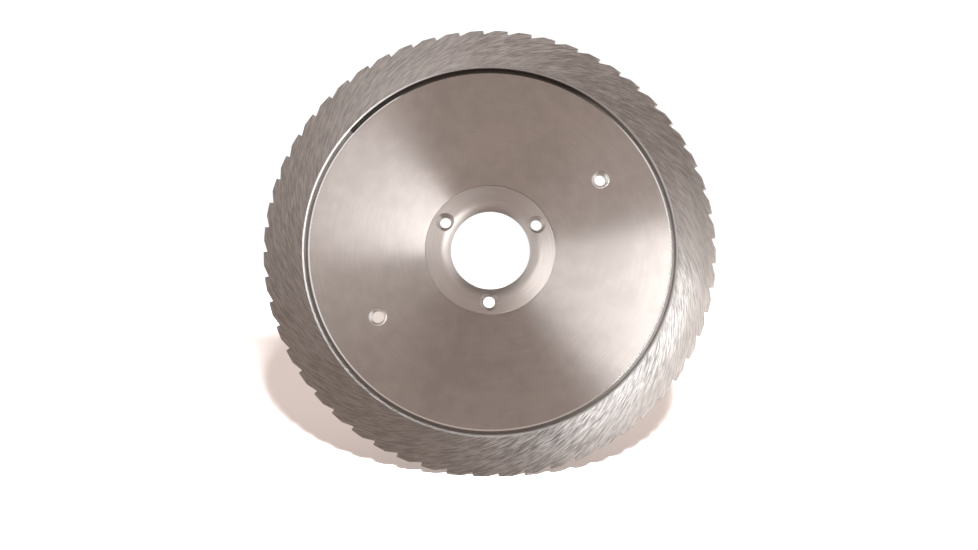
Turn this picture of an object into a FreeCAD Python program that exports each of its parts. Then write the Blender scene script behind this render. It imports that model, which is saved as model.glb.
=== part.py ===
"""Toothed slicer blade: a dished steel disc with a saw-toothed rim, in five pieces.

Frame, in millimetres: +Z is up, the spin axis is Y and the hollow front faces -Y. The origin is on the
axis, in the plane of the hub's rear seat. A height is a distance in front of that plane, so its Y is minus
the height. Angles run counter-clockwise from +X as seen from the front.
"""
import FreeCAD
import Part
import Sketcher
import os

SIZES = {
    "tip_diameter": 220.0,         # over the tooth tips
    "tooth_count": 56,
    "tooth_depth": 1.8,            # tip to root
    "tooth_land_share": 0.53,      # share of one pitch that stays at the tip radius
    "tooth_face_lean": 0.12,       # degrees that the tip stands back from the root, behind its cutting step
    "first_tooth_angle": 2.3,      # direction of the cutting step of the first tooth
    "tip_height": 15.8,
    "edge_thickness": 0.35,
    "bevel_width": 6.0,            # sharpening bevel on the back of the ring
    "bevel_start_height": 12.3,
    "ring_lip_radius": 92.0,
    "ring_lip_height": 13.7,
    "ring_inner_radius": 90.9,
    "register_clearance": 0.1,     # between the ledge and the step behind the ring
    "ledge_radius": 95.0,
    "dish_lip_radius": 88.4,
    "dish_lip_height": 13.4,
    "slot_inner_radius": 89.5,     # the groove is a slot between two sloping shoulders
    "slot_mouth_height": 13.1,
    "slot_floor_height": 12.1,
    "slot_rounding": 0.2,
    "dish_thickness": 2.6,
    "hub_height": 4.5,
    "hub_flange_radius": 32.8,
    "hub_flange_thickness": 1.2,
    "hub_body_radius": 30.5,
    "hub_edge_rounding": 0.3,
    "bore_diameter": 40.0,
    "bore_length": 2.3,            # the straight wall behind the rounded lip
    "lip_start_radius": 25.2,
    "lip_arc_radius": 7.25,
    "screw_count": 3,
    "screw_circle_diameter": 53.0,
    "first_screw_angle": 29.0,
    "screw_hole_diameter": 5.8,
    "countersink_diameter": 9.2,
    "countersink_angle": 90.0,
    "bush_count": 2,
    "bush_circle_radius": 65.0,
    "upper_bush_angle": 32.4,
    "bush_diameter": 8.2,
    "bush_flange_diameter": 11.5,
    "bush_rear_height": 5.5,
    "bush_hole_diameter": 5.8,
    "front_mouth_height": 8.75,    # where the bush's hole opens out at 45 degrees towards the front
    "rear_mouth_height": 6.55,     # and where it does so towards the back
    "clear_height": 25.0,          # any height in front of everything
}

FULL_TURN = 360.0
EDGE_MATCH = 0.01                  # how closely a found edge agrees with the radius and height asked for

TIP_RADIUS = "sizes.tip_diameter / 2"
PITCH_ANGLE = "360 / sizes.tooth_count"
BEVEL_START_RADIUS = "sizes.tip_diameter / 2 - sizes.bevel_width"
LEDGE_UNDERSIDE = "sizes.dish_lip_height - sizes.dish_thickness"
HUB_UNDERSIDE = "sizes.hub_height - sizes.dish_thickness"
COUNTERBORE_HEIGHT = "sizes.hub_height - sizes.hub_flange_thickness"


def make_sheet(doc):
    """Make the spreadsheet of driving dimensions, one alias a row."""
    sheet = doc.addObject("Spreadsheet::Sheet", "sizes")
    for row, (alias, value) in enumerate(SIZES.items(), start=1):
        sheet.set(f"A{row}", alias)
        sheet.set(f"B{row}", str(value))
        sheet.setAlias(f"B{row}", alias)
    doc.recompute()


def origin_feature(body, role):
    """The plane or axis of a body's origin that has this role."""
    return next(feature for feature in body.Origin.OriginFeatures if feature.Role == role)


def make_sketch(body, name, plane):
    """An empty sketch on one of the body's origin planes."""
    sketch = body.newObject("Sketcher::SketchObject", name)
    sketch.AttachmentSupport = [(origin_feature(body, plane), "")]
    sketch.MapMode = "FlatFace"
    return sketch


def bind(sketch, kind, where, expression):
    """One dimension of a sketch, driven by an expression on the sheet."""
    value = float(sketch.evalExpression(expression))
    index = sketch.addConstraint(Sketcher.Constraint(kind, *where, value))
    sketch.setExpression(f"Constraints[{index}]", expression)


def draw_outline(sketch, corners):
    """A closed outline through corners given as pairs of expressions.

    A third entry makes the edge that leaves the corner a clockwise arc of that radius.
    """
    points = []
    for corner in corners:
        across, up = (float(sketch.evalExpression(text)) for text in corner[:2])
        points.append(FreeCAD.Vector(across, up, 0))
    ends = []
    for number, corner in enumerate(corners):
        start = points[number]
        end = points[(number + 1) % len(points)]
        if len(corner) == 3:
            edge = sketch.addGeometry(clockwise_arc(start, end, float(sketch.evalExpression(corner[2]))))
            ends.append(((edge, 2), (edge, 1)))
        else:
            edge = sketch.addGeometry(Part.LineSegment(start, end))
            ends.append(((edge, 1), (edge, 2)))
    for number, corner in enumerate(corners):
        edge_start, edge_end = ends[number]
        next_start = ends[(number + 1) % len(ends)][0]
        sketch.addConstraint(Sketcher.Constraint("Coincident", *edge_end, *next_start))
        bind(sketch, "DistanceX", edge_start, corner[0])
        bind(sketch, "DistanceY", edge_start, corner[1])
        if len(corner) == 3:
            bind(sketch, "Radius", edge_start[:1], corner[2])


def draw_circle(sketch, radius, distance, angle):
    """A circle whose centre lies at a distance and an angle from the spin axis."""
    anywhere = FreeCAD.Vector(1, 1, 0)
    edge = sketch.addGeometry(Part.Circle(anywhere, FreeCAD.Vector(0, 0, 1), 1))
    bind(sketch, "Radius", (edge,), radius)
    bind(sketch, "DistanceX", (edge, 3), f"{distance} * cos({angle})")
    bind(sketch, "DistanceY", (edge, 3), f"{distance} * sin({angle})")


def clockwise_arc(start, end, radius):
    """The short arc from start to end that turns clockwise."""
    chord = end - start
    right = FreeCAD.Vector(chord.y, -chord.x, 0).normalize()
    to_centre = (radius ** 2 - (chord.Length / 2) ** 2) ** 0.5
    centre = start + chord / 2 + right * to_centre
    return Part.Arc(start, centre - right * radius, end)


def make_body(doc, label):
    """An empty body whose label names its piece."""
    body = doc.addObject("PartDesign::Body", label)
    body.Label = label
    return body


def turn(body, kind, name, corners, axis=None):
    """Revolve a section, drawn as radius and Y, about the spin axis or an axis of its own."""
    sketch = make_sketch(body, name + "_section", "XY_Plane")
    draw_outline(sketch, corners)
    axis_reference = (sketch, ["V_Axis"])
    if axis is not None:
        line = Part.LineSegment(FreeCAD.Vector(1, -1, 0), FreeCAD.Vector(1, 0, 0))
        edge = sketch.addGeometry(line, True)
        for end in (1, 2):
            bind(sketch, "DistanceX", (edge, end), axis)
        bind(sketch, "DistanceY", (edge, 1), "-sizes.hub_height")
        bind(sketch, "DistanceY", (edge, 2), "0")
        axis_reference = (sketch, ["Axis0"])
    feature = body.newObject("PartDesign::" + kind, name)
    feature.Profile = sketch
    feature.ReferenceAxis = axis_reference
    feature.Angle = FULL_TURN
    body.Tip = feature
    body.Document.recompute()


def repeat(body, feature, name, count):
    """Repeat a feature evenly round the spin axis."""
    pattern = body.newObject("PartDesign::PolarPattern", name)
    pattern.Originals = [feature]
    pattern.Axis = (origin_feature(body, "Y_Axis"), [""])
    pattern.Angle = FULL_TURN
    pattern.setExpression("Occurrences", count)
    body.Tip = pattern
    body.Document.recompute()


def round_rim(body, name, radius, height, rounding):
    """Fillet the circular edge that has this radius and height in front of the seat."""
    base = body.Tip
    wanted = [float(base.evalExpression(text)) for text in (radius, height)]
    edges = []
    for number, edge in enumerate(base.Shape.Edges, start=1):
        curve = edge.Curve
        if not isinstance(curve, Part.Circle):
            continue
        if abs(curve.Radius - wanted[0]) < EDGE_MATCH and abs(-curve.Center.y - wanted[1]) < EDGE_MATCH:
            edges.append(f"Edge{number}")
    fillet = body.newObject("PartDesign::Fillet", name)
    fillet.Base = (base, edges)
    fillet.setExpression("Radius", rounding)
    body.Tip = fillet
    body.Document.recompute()


def make_toothed_ring(doc):
    """The cutting ring: lapped on the dish's ledge, bevelled behind, with raked saw teeth."""
    body = make_body(doc, "toothed_ring")
    step_radius = "sizes.ledge_radius + sizes.register_clearance"
    turn(body, "Revolution", "ring_blank", [
        ("sizes.ring_inner_radius", "-sizes.slot_floor_height"),
        (step_radius, "-sizes.slot_floor_height"),
        (step_radius, f"-({LEDGE_UNDERSIDE})"),
        (BEVEL_START_RADIUS, "-sizes.bevel_start_height"),
        (TIP_RADIUS, "-(sizes.tip_height - sizes.edge_thickness)"),
        (TIP_RADIUS, "-sizes.tip_height"),
        ("sizes.ring_lip_radius", "-sizes.ring_lip_height"),
        ("sizes.ring_inner_radius", "-sizes.slot_mouth_height"),
    ])
    round_rim(body, "slot_edge", "sizes.ring_inner_radius", "sizes.slot_mouth_height", "sizes.slot_rounding")
    cut_teeth(body)
    return body


def cut_teeth(body):
    """Cut the gap behind one tooth's land, down its ramp to the next tooth's step, and repeat it."""
    land_end = f"(sizes.first_tooth_angle + sizes.tooth_land_share * {PITCH_ANGLE})"
    next_step = f"(sizes.first_tooth_angle + {PITCH_ANGLE})"
    next_root = f"(sizes.first_tooth_angle + {PITCH_ANGLE} - sizes.tooth_face_lean)"
    root_radius = f"({TIP_RADIUS} - sizes.tooth_depth)"
    outside = f"({TIP_RADIUS} + sizes.tooth_depth)"
    polar_corners = [
        (f"({TIP_RADIUS})", land_end),
        (root_radius, next_root),
        (f"({TIP_RADIUS})", next_step),
        (outside, next_step),
        (outside, land_end),
    ]
    sketch = make_sketch(body, "tooth_gap_outline", "XZ_Plane")
    corners = []
    for radius, angle in polar_corners:
        corners.append((f"{radius} * cos{angle}", f"{radius} * sin{angle}"))
    draw_outline(sketch, corners)
    pocket = body.newObject("PartDesign::Pocket", "tooth_gap")
    pocket.Profile = sketch
    pocket.Type = "ThroughAll"
    pocket.Reversed = True
    body.Tip = pocket
    body.Document.recompute()
    repeat(body, pocket, "tooth_gaps", "sizes.tooth_count")


def make_dish(doc):
    """The conical carrier: counterbored for the hub, with the groove and the ledge for the ring."""
    body = make_body(doc, "dish")
    turn(body, "Revolution", "dish_web", [
        ("sizes.hub_body_radius", f"-({HUB_UNDERSIDE})"),
        ("sizes.hub_flange_radius", f"-({HUB_UNDERSIDE})"),
        ("sizes.dish_lip_radius", f"-({LEDGE_UNDERSIDE})"),
        ("sizes.ledge_radius", f"-({LEDGE_UNDERSIDE})"),
        ("sizes.ledge_radius", "-sizes.slot_floor_height"),
        ("sizes.slot_inner_radius", "-sizes.slot_floor_height"),
        ("sizes.slot_inner_radius", "-sizes.slot_mouth_height"),
        ("sizes.dish_lip_radius", "-sizes.dish_lip_height"),
        ("sizes.hub_flange_radius", "-sizes.hub_height"),
        ("sizes.hub_flange_radius", f"-({COUNTERBORE_HEIGHT})"),
        ("sizes.hub_body_radius", f"-({COUNTERBORE_HEIGHT})"),
    ])
    round_rim(body, "slot_edge", "sizes.slot_inner_radius", "sizes.slot_mouth_height", "sizes.slot_rounding")
    cut_bush_holes(body)
    return body


def cut_bush_holes(body):
    """Two opposite holes through the web for the bushes."""
    sketch = make_sketch(body, "bush_hole_circle", "XZ_Plane")
    draw_circle(sketch, "sizes.bush_diameter / 2", "sizes.bush_circle_radius", "sizes.upper_bush_angle")
    pocket = body.newObject("PartDesign::Pocket", "bush_hole")
    pocket.Profile = sketch
    pocket.Type = "ThroughAll"
    pocket.Reversed = True
    body.Tip = pocket
    body.Document.recompute()
    repeat(body, pocket, "bush_holes", "sizes.bush_count")


def make_hub_ring(doc):
    """The seat ring: flange in the dish's counterbore, rounded lip into the bore, countersunk screw holes."""
    body = make_body(doc, "hub_ring")
    turn(body, "Revolution", "hub_blank", [
        ("sizes.bore_diameter / 2", "0"),
        ("sizes.hub_body_radius", "0"),
        ("sizes.hub_body_radius", f"-({COUNTERBORE_HEIGHT})"),
        ("sizes.hub_flange_radius", f"-({COUNTERBORE_HEIGHT})"),
        ("sizes.hub_flange_radius", "-sizes.hub_height"),
        ("sizes.lip_start_radius", "-sizes.hub_height", "sizes.lip_arc_radius"),
        ("sizes.bore_diameter / 2", "-sizes.bore_length"),
    ])
    round_rim(body, "hub_edge", "sizes.hub_flange_radius", "sizes.hub_height", "sizes.hub_edge_rounding")
    cut_screw_holes(body)
    return body


def cut_screw_holes(body):
    """The countersunk holes, from the plane of the hub's front face through to the seat."""
    sketch = make_sketch(body, "screw_hole_circle", "XZ_Plane")
    sketch.setExpression("AttachmentOffset.Base.z", "sizes.hub_height")
    screw_circle_radius = "sizes.screw_circle_diameter / 2"
    draw_circle(sketch, "sizes.screw_hole_diameter / 2", screw_circle_radius, "sizes.first_screw_angle")
    body.Document.recompute()
    hole = body.newObject("PartDesign::Hole", "screw_hole")
    hole.Profile = sketch
    hole.DepthType = "ThroughAll"
    hole.setExpression("Diameter", "sizes.screw_hole_diameter")
    hole.HoleCutType = "Countersink"
    hole.setExpression("HoleCutDiameter", "sizes.countersink_diameter")
    hole.setExpression("HoleCutCountersinkAngle", "sizes.countersink_angle")
    body.Tip = hole
    body.Document.recompute()
    repeat(body, hole, "screw_holes", "sizes.screw_count")


def make_bush(doc, label, angle):
    """A plain bush, its flange behind the web and its front flush with the dish, swung to its place."""
    body = make_body(doc, label)
    centre = "sizes.bush_circle_radius"
    shank_side = "sizes.bush_circle_radius + sizes.bush_diameter / 2"
    flange_side = "sizes.bush_circle_radius + sizes.bush_flange_diameter / 2"
    hole_side = "sizes.bush_circle_radius + sizes.bush_hole_diameter / 2"
    in_front = "-sizes.clear_height"
    rear = "-sizes.bush_rear_height"
    turn(body, "Revolution", "flange", [
        (centre, rear), (flange_side, rear), (flange_side, in_front), (centre, in_front),
    ], axis=centre)
    turn(body, "Groove", "flange_front", in_front_of_cone(HUB_UNDERSIDE, LEDGE_UNDERSIDE))
    turn(body, "Revolution", "shank", [
        (centre, rear), (shank_side, rear), (shank_side, in_front), (centre, in_front),
    ], axis=centre)
    turn(body, "Groove", "flush_front", in_front_of_cone("sizes.hub_height", "sizes.dish_lip_height"))
    turn(body, "Groove", "hole", [
        (centre, "0"),
        (f"{hole_side} + sizes.rear_mouth_height", "0"),
        (hole_side, "-sizes.rear_mouth_height"),
        (hole_side, "-sizes.front_mouth_height"),
        (f"{hole_side} + sizes.clear_height - sizes.front_mouth_height", in_front),
        (centre, in_front),
    ], axis=centre)
    swing = FreeCAD.Rotation(FreeCAD.Vector(0, -1, 0), angle)
    body.Placement = FreeCAD.Placement(FreeCAD.Vector(0, 0, 0), swing)
    return body


def in_front_of_cone(hub_side_height, rim_side_height):
    """The region in front of a cone that rises from the hub flange to the dish's lip."""
    return [
        ("sizes.hub_flange_radius", f"-({hub_side_height})"),
        ("sizes.dish_lip_radius", f"-({rim_side_height})"),
        ("sizes.dish_lip_radius", "-sizes.clear_height * 2"),
        ("sizes.hub_flange_radius", "-sizes.clear_height * 2"),
    ]


def check_document(doc, pieces):
    """Stop if any object failed or any piece is not a valid single solid."""
    for thing in doc.Objects:
        if "Invalid" in thing.State or "Error" in thing.State:
            raise RuntimeError(f"{thing.Name} failed: {thing.State}")
    for piece in pieces:
        if piece.Shape.isNull() or not piece.Shape.isValid() or len(piece.Shape.Solids) != 1:
            raise RuntimeError(f"{piece.Label} has no valid single solid")


def main():
    doc = FreeCAD.newDocument("slicer_blade")
    make_sheet(doc)
    upper_angle = SIZES["upper_bush_angle"]
    lower_angle = upper_angle + FULL_TURN / SIZES["bush_count"]
    pieces = [
        make_toothed_ring(doc),
        make_dish(doc),
        make_hub_ring(doc),
        make_bush(doc, "bush_upper", upper_angle),
        make_bush(doc, "bush_lower", lower_angle),
    ]
    doc.recompute()
    check_document(doc, pieces)
    os.makedirs("parts", exist_ok=True)
    for piece in pieces:
        piece.Shape.exportStep(f"parts/{piece.Label}.step")
        print(f"{piece.Label}: {piece.Shape.Volume:.1f} mm3")


main()
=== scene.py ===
"""Toothed slicer blade on a pale studio floor.

Everything is in metres in the blade's own frame: the spin axis is Y, the hollow front faces -Y and +Z is up.
In the pictured set-up the blade leans back a little, so here, where the blade is upright, the floor is tilted
instead. Directions round the blade are counter-clockwise from +X as seen from the front.
"""
import math

import bpy
from mathutils import Matrix, Vector


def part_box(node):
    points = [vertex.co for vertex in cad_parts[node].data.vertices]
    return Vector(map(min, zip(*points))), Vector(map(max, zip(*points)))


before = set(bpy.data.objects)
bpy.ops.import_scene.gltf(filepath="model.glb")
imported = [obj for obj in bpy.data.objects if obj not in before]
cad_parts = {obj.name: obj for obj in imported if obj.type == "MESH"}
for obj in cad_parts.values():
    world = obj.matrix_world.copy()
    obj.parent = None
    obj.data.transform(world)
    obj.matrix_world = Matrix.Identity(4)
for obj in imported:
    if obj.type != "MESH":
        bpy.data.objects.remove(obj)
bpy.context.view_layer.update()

MM = 0.001

# ---------------------------------------------------------------- places on the blade

# The toothed outline, as the CAD cuts it, with its angle in degrees.
TOOTH_COUNT = 56
FIRST_TOOTH_ANGLE = 2.3
TOOTH_DEPTH = 1.8 * MM
TOOTH_LAND_SHARE = 0.53                   # share of one pitch that stays at the tip radius
TIP_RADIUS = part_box("toothed_ring")[1].x

# The groove between the dish and the ring: polished shoulders on both sides of a slot darkened as painted
# shade.
GROOVE_RADII = (88.4 * MM, 92.0 * MM)
SLOT_RADII = (89.2 * MM, 91.2 * MM)
GROOVE_BACK = -11.9 * MM                  # all of the groove lies in front of this plane
GROOVE_BLEND = 0.05 * MM

# Painted shade darkens the upper part of the groove: it fades in along the groove over the first pair of
# angles and stops short at the second.
PAINTED_GROOVE_SHADE_RADII = (88.9 * MM, 91.3 * MM)
PAINTED_GROOVE_SHADE_FADE = (math.radians(44), math.radians(66))
PAINTED_GROOVE_SHADE_EDGE = (math.radians(140.2), math.radians(141))
PAINTED_GROOVE_SHADE_WANDER = 0.3                      # the span over which noise shifts its faded end, in radians

# The burnished rim round each bush: its radii from the bush's middle, and how far it sinks.
BUSH_RIM = (4.05 * MM, 4.45 * MM)
BUSH_RIM_DEPTH = -0.13 * MM

# The burnished band along the teeth: where its slope starts and ends, in from the outline, and its depth.
TOOTH_BAND = (0.1 * MM, 0.5 * MM)
TOOTH_BAND_DEPTH = 0.05 * MM

# Angles on the ring, in degrees. The grinding marks lie off the circle, outwards going clockwise.
GRIND_ANGLE = 17.5
CROSS_ANGLE = 1.35 * GRIND_ANGLE          # a second, weaker set of marks
GLOSS_ANGLE = GRIND_ANGLE + 10.0          # where the shader takes them to lie, to suit the photo's highlights
PAINTED_HIGHLIGHT_SIDE = -48.0                        # painted highlight: the marks are coloured brightest round this side of the ring
PAINTED_SHADE_SIDE = -8.0                          # and painted shade colours them dullest, near the teeth, round this one
PAINTED_HIGHLIGHT_FADE = (96 * MM, 107 * MM)          # the radii over which the painted highlight on the marks weakens
PAINTED_SHADE_FADE = (97 * MM, 106 * MM)           # and the painted shade on them sets in

# ---------------------------------------------------------------- steel colours and finishes

DISH_DARK = (0.60, 0.555, 0.53)
DISH_PALE = (0.68, 0.64, 0.615)
DISH_CLOUD = (0.575, 0.54, 0.515)
RING_VALLEY = (0.34, 0.312, 0.296)
RING_CREST = (0.52, 0.485, 0.463)
# Painted highlight on the ring's marks round one side, and painted shade on them near the teeth round
# another.
PAINTED_HIGHLIGHT_VALLEY = (0.25, 0.235, 0.225)
PAINTED_HIGHLIGHT_CREST = (0.76, 0.745, 0.735)
PAINTED_SHADE_VALLEY = (0.27, 0.247, 0.232)
PAINTED_SHADE_CREST = (0.40, 0.37, 0.35)
HUB_DARK = (0.58, 0.535, 0.51)
HUB_PALE = (0.68, 0.64, 0.615)
BUSH_DARK = (0.86, 0.83, 0.81)
BUSH_PALE = (0.95, 0.92, 0.90)
RIM_COLOR = (0.95, 0.93, 0.91)
DISH_SHOULDER = (0.97, 0.965, 0.955)
RING_SHOULDER = (0.66, 0.65, 0.64)
# Painted shade darkening the groove's slot.
SLOT_PAINTED_SHADE = (0.42, 0.385, 0.365)
# Painted shade along the upper part of the groove.
PAINTED_GROOVE_SHADE_COLOR = (0.12, 0.108, 0.097)

DISH_SHOULDER_ROUGHNESS = 0.12
RING_SHOULDER_ROUGHNESS = 0.42
SLOT_ROUGHNESS = 0.5
HUB_ROUGHNESS = 0.42
BUSH_ROUGHNESS = 0.3
BRUSHING_DEPTH = 0.004 * MM
MARKS_DEPTH = 0.03 * MM
ROUND_THE_AXIS = 0.25                     # shader rotation, in turns, for marks that follow the circle

# ---------------------------------------------------------------- camera and floor

# Camera, aimed at a point just below the bore, with its angles in degrees and its lens in millimetres.
AIM = Vector((-0.58, 0.0, -12.5)) * MM
CAMERA_DISTANCE = 400 * MM
CAMERA_ELEVATION = -7.93
CAMERA_AZIMUTH = -0.97
CAMERA_ROLL = 0.31
LENS = 29.2
SENSOR_WIDTH = 36

FLOOR_TILT = 8.0                          # degrees
FLOOR_SIZE = 12.0
FLOOR_WHITE = (0.9, 0.9, 0.9)

# The floor glows an even white away from the blade, but hardly at all in a strip behind it, for its shadow.
GLOW_FADE = (0.75, 1.30)                  # distances from the blade's foot
FRONT_FADE = (-0.42, -0.28)               # places along Y over which the glow in front dies away
SHADE_HALF_WIDTH = 0.04                   # of the strip, beside the blade
SHADE_WIDENING = 0.2                      # and its growth per metre behind it
SHADE_BLEND = 0.05
SHADE_GLOW = 0.12                         # share of the glow that is left in the strip
SHADE_END = (1.65, 1.95)                  # the strip fades out over these distances

# ---------------------------------------------------------------- the room that the steel reflects

# The room is grey, with a ring about the spin axis that is bright on two opposite sides.
MIDDLE_GREY = (0.495, 0.409, 0.371)
DIM_GREY = (0.39, 0.325, 0.297)
LOW_GREY = (0.42, 0.35, 0.319)
DARK_CEILING = (0.05, 0.042, 0.038)
BRIGHT_ROOM = (0.77, 0.753, 0.74)
DARK_CARD = (0.26, 0.225, 0.205)
PALE_CARD = (0.95, 0.92, 0.90)
BACKDROP = (1.05, 1.05, 1.05)             # what the camera sees past the floor
SHADOW_FILL = (0.80, 0.66, 0.60)          # what lights the floor in the shadow

# Heights, as parts of a direction of length one, over which the middle grey turns into the others.
DIM_HEIGHTS = (0.03, 0.5)
CEILING_HEIGHTS = (0.5, 0.72)
LOW_HEIGHTS = (-0.2, -0.5)

# Degrees off the spin axis over which the ring sets in, its outer corners set in, and the cards take over.
RING_START = (27.0, 36.0)
CORNER_START = (41.0, 46.0)
CARD_START = (56.0, 66.0)
CORNER_SIDEWAYS = (0.5, 0.78)             # the share of a direction's lean that is sideways, at the corners
CARD_SIDEWAYS = (0.6, 0.9)                # and where the dark card turns pale

# Round ROOM_CENTRE, each bright side starts crisply and ends softly. The degrees count from SIDES_FROM.
ROOM_CENTRE = (0.018, 0.169)              # X and Z of what a face square to the axis mirrors to the camera
SIDES_FROM = 70.0
CRISP_START = (60.0, 63.0)
SOFT_END = (122.0, 166.0)
LEFT_EARLIER = 10.0                       # the left bright side starts this many degrees earlier
RIGHT_NEARER = 4.0                        # and the right one this many degrees nearer the axis
HALVES_BLEND = (-0.01, 0.01)


# ---------------------------------------------------------------- node helpers

class Tree:
    """A node tree with short calls for adding nodes: inputs may be sockets or plain values."""

    def __init__(self, tree):
        self.nodes = tree.nodes
        self.links = tree.links

    def add(self, kind, inputs=None, **settings):
        node = self.nodes.new(kind)
        for name, value in settings.items():
            setattr(node, name, value)
        for name, value in (inputs or {}).items():
            self.feed(node.inputs[name], value)
        return node

    def feed(self, socket, value):
        if isinstance(value, bpy.types.NodeSocket):
            self.links.new(value, socket)
        elif socket.type == "RGBA":
            socket.default_value = (*value, 1.0)
        else:
            socket.default_value = value

    def math(self, operation, *values):
        node = self.add("ShaderNodeMath", dict(enumerate(values)), operation=operation)
        return node.outputs[0]

    def product(self, first, *others):
        for other in others:
            first = self.math("MULTIPLY", first, other)
        return first

    def ramp(self, value, low, high, to_low=0.0, to_high=1.0, smooth=True):
        """Value mapped from low..high to to_low..to_high, clamped."""
        kind = "SMOOTHSTEP" if smooth else "LINEAR"
        inputs = {"Value": value, "From Min": low, "From Max": high, "To Min": to_low, "To Max": to_high}
        return self.add("ShaderNodeMapRange", inputs, interpolation_type=kind).outputs["Result"]

    def mix(self, factor, first, second):
        """A blend of two colours."""
        inputs = {0: factor, 6: first, 7: second}
        return self.add("ShaderNodeMix", inputs, data_type="RGBA").outputs[2]

    def mix_numbers(self, factor, first, second):
        inputs = {0: factor, 2: first, 3: second}
        return self.add("ShaderNodeMix", inputs, data_type="FLOAT").outputs[0]

    def noise(self, vector, scale=1.0, detail=2.0, roughness=0.5):
        inputs = {"Vector": vector, "Scale": scale, "Detail": detail, "Roughness": roughness}
        return self.add("ShaderNodeTexNoise", inputs).outputs[0]

    def bump(self, height, distance, normal=None):
        inputs = {"Height": height, "Distance": distance, "Strength": 1.0}
        if normal is not None:
            inputs["Normal"] = normal
        return self.add("ShaderNodeBump", inputs).outputs[0]

    def position(self):
        return self.add("ShaderNodeTexCoord").outputs["Object"]

    def polar(self, position):
        """Radius in metres and angle in radians about the spin axis."""
        split = self.add("ShaderNodeSeparateXYZ", {0: position})
        x, z = split.outputs["X"], split.outputs["Z"]
        square = self.math("ADD", self.math("MULTIPLY", x, x), self.math("MULTIPLY", z, z))
        return self.math("SQRT", square), self.math("ARCTAN2", z, x)

    def swept(self, radius, angle, along, across):
        """A vector for streaks that follow the circles: along is their density per turn, across per metre."""
        around = self.math("MULTIPLY", self.math("COSINE", angle), along)
        up = self.math("MULTIPLY", self.math("SINE", angle), along)
        outwards = self.math("MULTIPLY", radius, across)
        return self.add("ShaderNodeCombineXYZ", {0: around, 1: up, 2: outwards}).outputs[0]


def new_material(name):
    material = bpy.data.materials.new(name)
    material.use_nodes = True
    material.node_tree.nodes.clear()
    return material, Tree(material.node_tree)


def metal(tree, color, roughness, normal, anisotropic, rotation=ROUND_THE_AXIS):
    """The steel shader, with its brushing direction taken round the spin axis."""
    tangent = tree.add("ShaderNodeTangent", direction_type="RADIAL", axis="Y").outputs[0]
    shader = tree.add("ShaderNodeBsdfPrincipled", {
        "Base Color": color,
        "Metallic": 1.0,
        "Roughness": roughness,
        "Anisotropic": anisotropic,
        "Anisotropic Rotation": rotation,
        "Normal": normal,
        "Tangent": tangent,
    })
    tree.add("ShaderNodeOutputMaterial", {"Surface": shader.outputs[0]})


def radians_of(degrees):
    return [math.radians(angle) for angle in degrees]


# ---------------------------------------------------------------- materials

def between(tree, radius, inner, outer):
    """One between two radii and zero outside them."""
    inside = tree.ramp(radius, inner - GROOVE_BLEND, inner)
    outside = tree.ramp(radius, outer, outer + GROOVE_BLEND)
    return tree.math("SUBTRACT", inside, outside)


def painted_groove_shade(tree, radius, angle, position):
    """One where painted shade darkens the upper part of the groove."""
    patchy = tree.math("SUBTRACT", tree.noise(position, scale=60.0, detail=3.0), 0.5)
    patchy = tree.math("MULTIPLY", patchy, PAINTED_GROOVE_SHADE_WANDER)
    faded_in = tree.ramp(tree.math("ADD", angle, patchy), *PAINTED_GROOVE_SHADE_FADE)
    past_edge = tree.ramp(angle, *PAINTED_GROOVE_SHADE_EDGE)
    return tree.product(between(tree, radius, *PAINTED_GROOVE_SHADE_RADII), tree.math("SUBTRACT", faded_in, past_edge))


def groove_finish(tree, position, rough, color, shoulder_rough, shoulder_color):
    """Roughness and colour that turn to a polish on the groove's shoulders and to a rougher slot darkened as
    painted shade, with more painted shade along the groove's upper part.
    """
    radius, angle = tree.polar(position)
    depth = tree.add("ShaderNodeSeparateXYZ", {0: position}).outputs["Y"]
    front = tree.ramp(depth, GROOVE_BACK, GROOVE_BACK + 0.1 * MM, 1.0, 0.0)
    shoulder = tree.product(front, between(tree, radius, *GROOVE_RADII))
    slot = tree.product(front, between(tree, radius, *SLOT_RADII))
    dark = tree.product(front, painted_groove_shade(tree, radius, angle, position))
    rough = tree.mix_numbers(shoulder, rough, shoulder_rough)
    rough = tree.mix_numbers(slot, rough, SLOT_ROUGHNESS)
    rough = tree.mix_numbers(dark, rough, SLOT_ROUGHNESS)
    color = tree.mix(shoulder, color, shoulder_color)
    color = tree.mix(slot, color, SLOT_PAINTED_SHADE)
    return rough, tree.mix(dark, color, PAINTED_GROOVE_SHADE_COLOR)


def bush_rim(tree, position):
    """Zero at the edge of either bush, rising to one across the narrow burnished rim round it."""
    flat = tree.add("ShaderNodeVectorMath", {0: position, 1: (1, 0, 1)}, operation="MULTIPLY").outputs[0]
    distances = []
    for name in ("bush_upper", "bush_lower"):
        low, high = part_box(name)
        centre = ((low.x + high.x) / 2, 0, (low.z + high.z) / 2)
        apart = tree.add("ShaderNodeVectorMath", {0: flat, 1: centre}, operation="DISTANCE")
        distances.append(apart.outputs["Value"])
    return tree.ramp(tree.math("MINIMUM", *distances), *BUSH_RIM)


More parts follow.
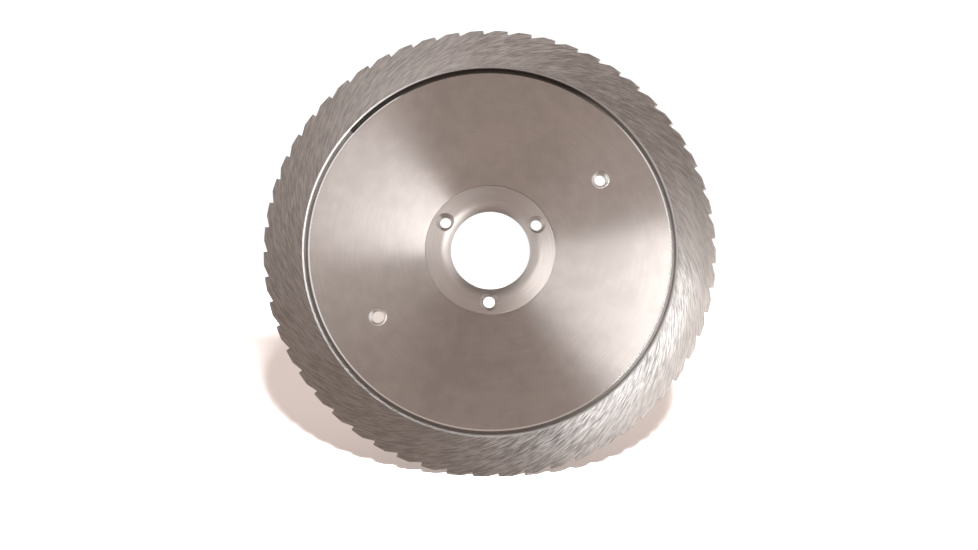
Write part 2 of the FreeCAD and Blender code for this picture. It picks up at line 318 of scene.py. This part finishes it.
def brushed_dish():
    """Fine concentric brushing with faint smudges, the groove's inner side and the rims of the bushes."""
    material, tree = new_material("dish_brushed_steel")
    position = tree.position()
    radius, angle = tree.polar(position)
    fine = tree.noise(tree.swept(radius, angle, along=2.2, across=5200.0), detail=3.0, roughness=0.6)
    broad = tree.noise(tree.swept(radius, angle, along=1.6, across=420.0), detail=3.0)
    smudge = tree.noise(position, scale=26.0, detail=4.0, roughness=0.55)
    mottle = tree.noise(position, scale=150.0, detail=3.0)
    smudge_rough = tree.ramp(smudge, 0.35, 0.7, 0.279, 0.290)
    rough = tree.math("ADD", smudge_rough, tree.ramp(broad, 0.3, 0.7, -0.003, 0.003))
    color = tree.mix(tree.ramp(fine, 0.3, 0.7), DISH_DARK, DISH_PALE)
    cloud = tree.math("ADD", tree.math("MULTIPLY", smudge, 0.6), tree.math("MULTIPLY", mottle, 0.4))
    color = tree.mix(tree.ramp(cloud, 0.4, 0.62), color, DISH_CLOUD)
    rough, color = groove_finish(tree, position, rough, color, DISH_SHOULDER_ROUGHNESS, DISH_SHOULDER)
    beyond_rim = bush_rim(tree, position)
    color = tree.mix(beyond_rim, RIM_COLOR, color)
    normal = tree.bump(fine, BRUSHING_DEPTH)
    normal = tree.bump(beyond_rim, BUSH_RIM_DEPTH, normal)
    metal(tree, color, rough, normal, anisotropic=0.97)
    return material


def spiral(tree, radius, angle, slant):
    """The angle at which the slanted mark through a point crosses the tip circle."""
    run = tree.math("LOGARITHM", tree.math("DIVIDE", radius, TIP_RADIUS), math.e)
    return tree.math("ADD", angle, tree.math("DIVIDE", run, math.tan(math.radians(slant))))


def tooth_edge(tree, radius, angle):
    """Distance in from the toothed outline, in metres, measured along the front face."""
    pitch = 2 * math.pi / TOOTH_COUNT
    past_step = tree.math("SUBTRACT", angle, math.radians(FIRST_TOOTH_ANGLE) - 2 * math.pi)
    share = tree.math("FRACT", tree.math("DIVIDE", past_step, pitch))
    drop = tree.ramp(share, TOOTH_LAND_SHARE, 1.0, 0.0, TOOTH_DEPTH, smooth=False)
    from_outline = tree.math("SUBTRACT", tree.math("SUBTRACT", TIP_RADIUS, drop), radius)
    below_root = tree.math("MAXIMUM", tree.math("SUBTRACT", TIP_RADIUS - TOOTH_DEPTH, radius), 0.0)
    from_step = tree.math("MULTIPLY", share, pitch * TIP_RADIUS)
    square = tree.math("ADD", tree.math("POWER", below_root, 2.0), tree.math("POWER", from_step, 2.0))
    return tree.math("MINIMUM", from_outline, tree.math("SQRT", square))


def towards(tree, angle, side, gone, full):
    """One round a side of the blade, given in degrees. Gone and full are cosines of the angle from it."""
    nearness = tree.math("COSINE", tree.math("SUBTRACT", angle, math.radians(side)))
    return tree.ramp(nearness, gone, full)


def grinding_marks(tree, radius, angle, mark):
    """Height of the grinding marks, between zero and one: coarse ones with a weaker set across them."""
    cross_mark = spiral(tree, radius, angle, CROSS_ANGLE)
    coarse = tree.noise(tree.swept(radius, mark, along=75.0, across=460.0), detail=3.0, roughness=0.65)
    cross = tree.noise(tree.swept(radius, cross_mark, along=70.0, across=420.0))
    return tree.math("ADD", tree.math("MULTIPLY", coarse, 0.65), tree.math("MULTIPLY", cross, 0.35))


def marks_color(tree, radius, angle, marks):
    """Dark valleys and pale crests, with more contrast where a painted highlight lies on one side and less
    where painted shade lies near the teeth on another.
    """
    painted_highlight = towards(tree, angle, PAINTED_HIGHLIGHT_SIDE, 0.55, 0.9)
    painted_highlight = tree.product(painted_highlight, tree.ramp(radius, *PAINTED_HIGHLIGHT_FADE, 1.0, 0.4))
    painted_shade = towards(tree, angle, PAINTED_SHADE_SIDE, 0.55, 0.95)
    painted_shade = tree.product(painted_shade, tree.ramp(radius, *PAINTED_SHADE_FADE, 0.0, 0.9))
    crests = tree.ramp(marks, 0.4, 0.6)
    valley = tree.mix(painted_highlight, RING_VALLEY, PAINTED_HIGHLIGHT_VALLEY)
    crest = tree.mix(painted_highlight, RING_CREST, PAINTED_HIGHLIGHT_CREST)
    return tree.mix(painted_shade, tree.mix(crests, valley, crest), tree.mix(crests, PAINTED_SHADE_VALLEY, PAINTED_SHADE_CREST))


def ring_relief(tree, radius, angle, marks):
    """The normal for the burnished band along the teeth and, outside the groove, the grinding marks."""
    band = tree.ramp(tooth_edge(tree, radius, angle), *TOOTH_BAND)
    groove_edge = GROOVE_RADII[1]
    outside_groove = tree.ramp(radius, groove_edge, groove_edge + 0.3 * MM)
    return tree.bump(tree.product(marks, outside_groove), MARKS_DEPTH, tree.bump(band, TOOTH_BAND_DEPTH))


def ground_ring():
    """Coarse diagonal grinding marks, a burnished band along the teeth, and the outer side of the groove."""
    material, tree = new_material("ring_ground_steel")
    position = tree.position()
    radius, angle = tree.polar(position)
    mark = spiral(tree, radius, angle, GRIND_ANGLE)
    marks = grinding_marks(tree, radius, angle, mark)
    smudge = tree.noise(position, scale=30.0, detail=4.0, roughness=0.55)
    smudge_rough = tree.ramp(smudge, 0.35, 0.7, 0.38, 0.44)
    rough = tree.math("ADD", smudge_rough, tree.ramp(marks, 0.4, 0.6, -0.04, 0.05))
    # The marks' colour carries a painted highlight and painted shade.
    color = marks_color(tree, radius, angle, marks)
    rough, color = groove_finish(tree, position, rough, color, RING_SHOULDER_ROUGHNESS, RING_SHOULDER)
    normal = ring_relief(tree, radius, angle, marks)
    sway = tree.noise(tree.swept(radius, mark, along=85.0, across=420.0), roughness=0.6)
    sway = tree.ramp(sway, 0.3, 0.7, -0.045, 0.045)
    rotation = tree.math("ADD", sway, ROUND_THE_AXIS + GLOSS_ANGLE / 360)
    metal(tree, color, rough, normal, anisotropic=0.78, rotation=rotation)
    return material


def satin_hub():
    """Satin turned finish."""
    material, tree = new_material("hub_satin_steel")
    radius, angle = tree.polar(tree.position())
    fine = tree.noise(tree.swept(radius, angle, along=2.2, across=4200.0), detail=3.0, roughness=0.6)
    color = tree.mix(tree.ramp(fine, 0.3, 0.7), HUB_DARK, HUB_PALE)
    metal(tree, color, HUB_ROUGHNESS, tree.bump(fine, BRUSHING_DEPTH), anisotropic=0.7)
    return material


def turned_bush():
    """Bright turned finish."""
    material, tree = new_material("bush_turned_steel")
    fine = tree.noise(tree.position(), scale=3000.0)
    color = tree.mix(tree.ramp(fine, 0.3, 0.7), BUSH_DARK, BUSH_PALE)
    metal(tree, color, BUSH_ROUGHNESS, tree.bump(fine, BRUSHING_DEPTH), anisotropic=0.4)
    return material


def dress():
    """Give each CAD node its finish."""
    finishes = {
        "toothed_ring": ground_ring(),
        "dish": brushed_dish(),
        "hub_ring": satin_hub(),
    }
    bush = turned_bush()
    for name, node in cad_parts.items():
        node.data.materials.clear()
        node.data.materials.append(finishes.get(name, bush))


# ---------------------------------------------------------------- floor

def floor_glow(tree):
    """How strongly the floor glows: little near the blade and in the strip behind it, and fully elsewhere."""
    position = tree.position()
    distance = tree.add("ShaderNodeVectorMath", {0: position}, operation="LENGTH").outputs["Value"]
    split = tree.add("ShaderNodeSeparateXYZ", {0: position})
    shaded_half = tree.math("MULTIPLY_ADD", split.outputs["Y"], SHADE_WIDENING, SHADE_HALF_WIDTH)
    beside = tree.math("SUBTRACT", tree.math("ABSOLUTE", split.outputs["X"]), shaded_half)
    beside = tree.ramp(beside, 0.0, SHADE_BLEND, SHADE_GLOW, 1.0)
    beyond = tree.ramp(distance, *SHADE_END)
    far = tree.product(tree.ramp(distance, *GLOW_FADE), tree.math("MAXIMUM", beside, beyond))
    in_front = tree.ramp(split.outputs["Y"], *FRONT_FADE, 1.0, 0.0)
    return tree.math("MAXIMUM", far, in_front)


def make_floor():
    lowest = Vector((0.0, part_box("toothed_ring")[0].y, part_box("toothed_ring")[0].z))
    mesh = bpy.data.meshes.new("floor")
    half = FLOOR_SIZE / 2
    corners = [(-half, -half, 0), (half, -half, 0), (half, half, 0), (-half, half, 0)]
    mesh.from_pydata(corners, [], [(0, 1, 2, 3)])
    floor = bpy.data.objects.new("floor", mesh)
    floor.matrix_world = Matrix.Translation(lowest) @ Matrix.Rotation(math.radians(FLOOR_TILT), 4, "X")
    floor.visible_glossy = False
    bpy.context.scene.collection.objects.link(floor)
    material, tree = new_material("pale_floor")
    shader = tree.add("ShaderNodeBsdfPrincipled", {
        "Base Color": FLOOR_WHITE,
        "Roughness": 0.9,
        "Emission Color": (1, 1, 1),
        "Emission Strength": floor_glow(tree),
    })
    tree.add("ShaderNodeOutputMaterial", {"Surface": shader.outputs[0]})
    mesh.materials.append(material)


# ---------------------------------------------------------------- room

def bright_sides(tree, direction, turned, sideways):
    """One on the bright stretches of the ring about the spin axis."""
    across = tree.math("SUBTRACT", direction.outputs["X"], ROOM_CENTRE[0])
    up = tree.math("SUBTRACT", direction.outputs["Z"], ROOM_CENTRE[1])
    around = tree.math("ARCTAN2", up, across)
    past = tree.math("FLOORED_MODULO", tree.math("SUBTRACT", around, math.radians(SIDES_FROM)), math.pi)
    earlier = tree.ramp(across, *HALVES_BLEND, math.radians(LEFT_EARLIER), 0.0)
    started = tree.ramp(tree.math("ADD", past, earlier), *radians_of(CRISP_START))
    side = tree.math("SUBTRACT", started, tree.ramp(past, *radians_of(SOFT_END)))
    corner = tree.product(tree.ramp(turned, *radians_of(CORNER_START)), tree.ramp(sideways, *CORNER_SIDEWAYS))
    nearer = tree.ramp(across, *HALVES_BLEND, 0.0, math.radians(RIGHT_NEARER))
    ring = tree.ramp(tree.math("ADD", turned, nearer), *radians_of(RING_START))
    return tree.product(ring, tree.math("MAXIMUM", side, corner))


def room_color(tree):
    """The room's colour in each direction."""
    direction = tree.add("ShaderNodeSeparateXYZ", {0: tree.add("ShaderNodeTexCoord").outputs["Generated"]})
    height = direction.outputs["Z"]
    turned = tree.math("ARCCOSINE", tree.math("ABSOLUTE", direction.outputs["Y"]))
    lean = tree.math("MAXIMUM", tree.math("SINE", turned), 0.001)
    sideways = tree.math("DIVIDE", tree.math("ABSOLUTE", direction.outputs["X"]), lean)
    room = tree.mix(tree.ramp(height, *DIM_HEIGHTS), MIDDLE_GREY, DIM_GREY)
    room = tree.mix(tree.ramp(height, *CEILING_HEIGHTS), room, DARK_CEILING)
    room = tree.mix(tree.ramp(height, *LOW_HEIGHTS), room, LOW_GREY)
    room = tree.mix(bright_sides(tree, direction, turned, sideways), room, BRIGHT_ROOM)
    card = tree.mix(tree.ramp(sideways, *CARD_SIDEWAYS), DARK_CARD, PALE_CARD)
    return tree.mix(tree.ramp(turned, *radians_of(CARD_START)), room, card)


def make_world():
    """White for the camera, a warm fill for the floor, and for the steel the grey room."""
    world = bpy.data.worlds.new("studio")
    world.use_nodes = True
    world.node_tree.nodes.clear()
    bpy.context.scene.world = world
    tree = Tree(world.node_tree)
    path = tree.add("ShaderNodeLightPath")
    lit = tree.mix(path.outputs["Is Glossy Ray"], SHADOW_FILL, room_color(tree))
    seen = tree.mix(path.outputs["Is Camera Ray"], lit, BACKDROP)
    background = tree.add("ShaderNodeBackground", {"Color": seen, "Strength": 1.0})
    tree.add("ShaderNodeOutputWorld", {"Surface": background.outputs[0]})


# ---------------------------------------------------------------- lights and camera

def aim(thing, target):
    """Turn a light or camera at its place towards a target."""
    direction = Vector(target) - thing.location
    thing.rotation_euler = direction.to_track_quat("-Z", "Y").to_euler()


def area_light(name, place, target, width, height, power):
    data = bpy.data.lights.new(name, "AREA")
    data.shape = "RECTANGLE"
    data.size = width
    data.size_y = height
    data.energy = power
    light = bpy.data.objects.new(name, data)
    light.location = place
    aim(light, target)
    light.visible_camera = False
    bpy.context.scene.collection.objects.link(light)
    return light


def make_lights():
    """A low key light that throws the shadow, and a side light that only the steel reflects."""
    key = area_light("key", (0.0178, -0.442, 0.067), (0, 0, -0.05), width=0.045, height=0.045, power=60.0)
    key.visible_glossy = False
    side = area_light("side", (0.165, -0.32, -0.019), (0, 0, 0), width=0.07, height=0.19, power=0.415)
    side.visible_diffuse = False


def make_camera():
    data = bpy.data.cameras.new("camera")
    data.lens = LENS
    data.sensor_width = SENSOR_WIDTH
    data.clip_start = 0.01
    camera = bpy.data.objects.new("camera", data)
    azimuth = math.radians(CAMERA_AZIMUTH)
    elevation = math.radians(CAMERA_ELEVATION)
    level = math.cos(elevation)
    back = Vector((math.sin(azimuth) * level, -math.cos(azimuth) * level, math.sin(elevation)))
    camera.location = AIM + back * CAMERA_DISTANCE
    aim(camera, AIM)
    camera.rotation_euler.rotate_axis("Z", math.radians(CAMERA_ROLL))
    bpy.context.scene.collection.objects.link(camera)
    bpy.context.scene.camera = camera


bpy.context.scene.view_settings.view_transform = "Standard"
dress()
make_floor()
make_world()
make_lights()
make_camera()
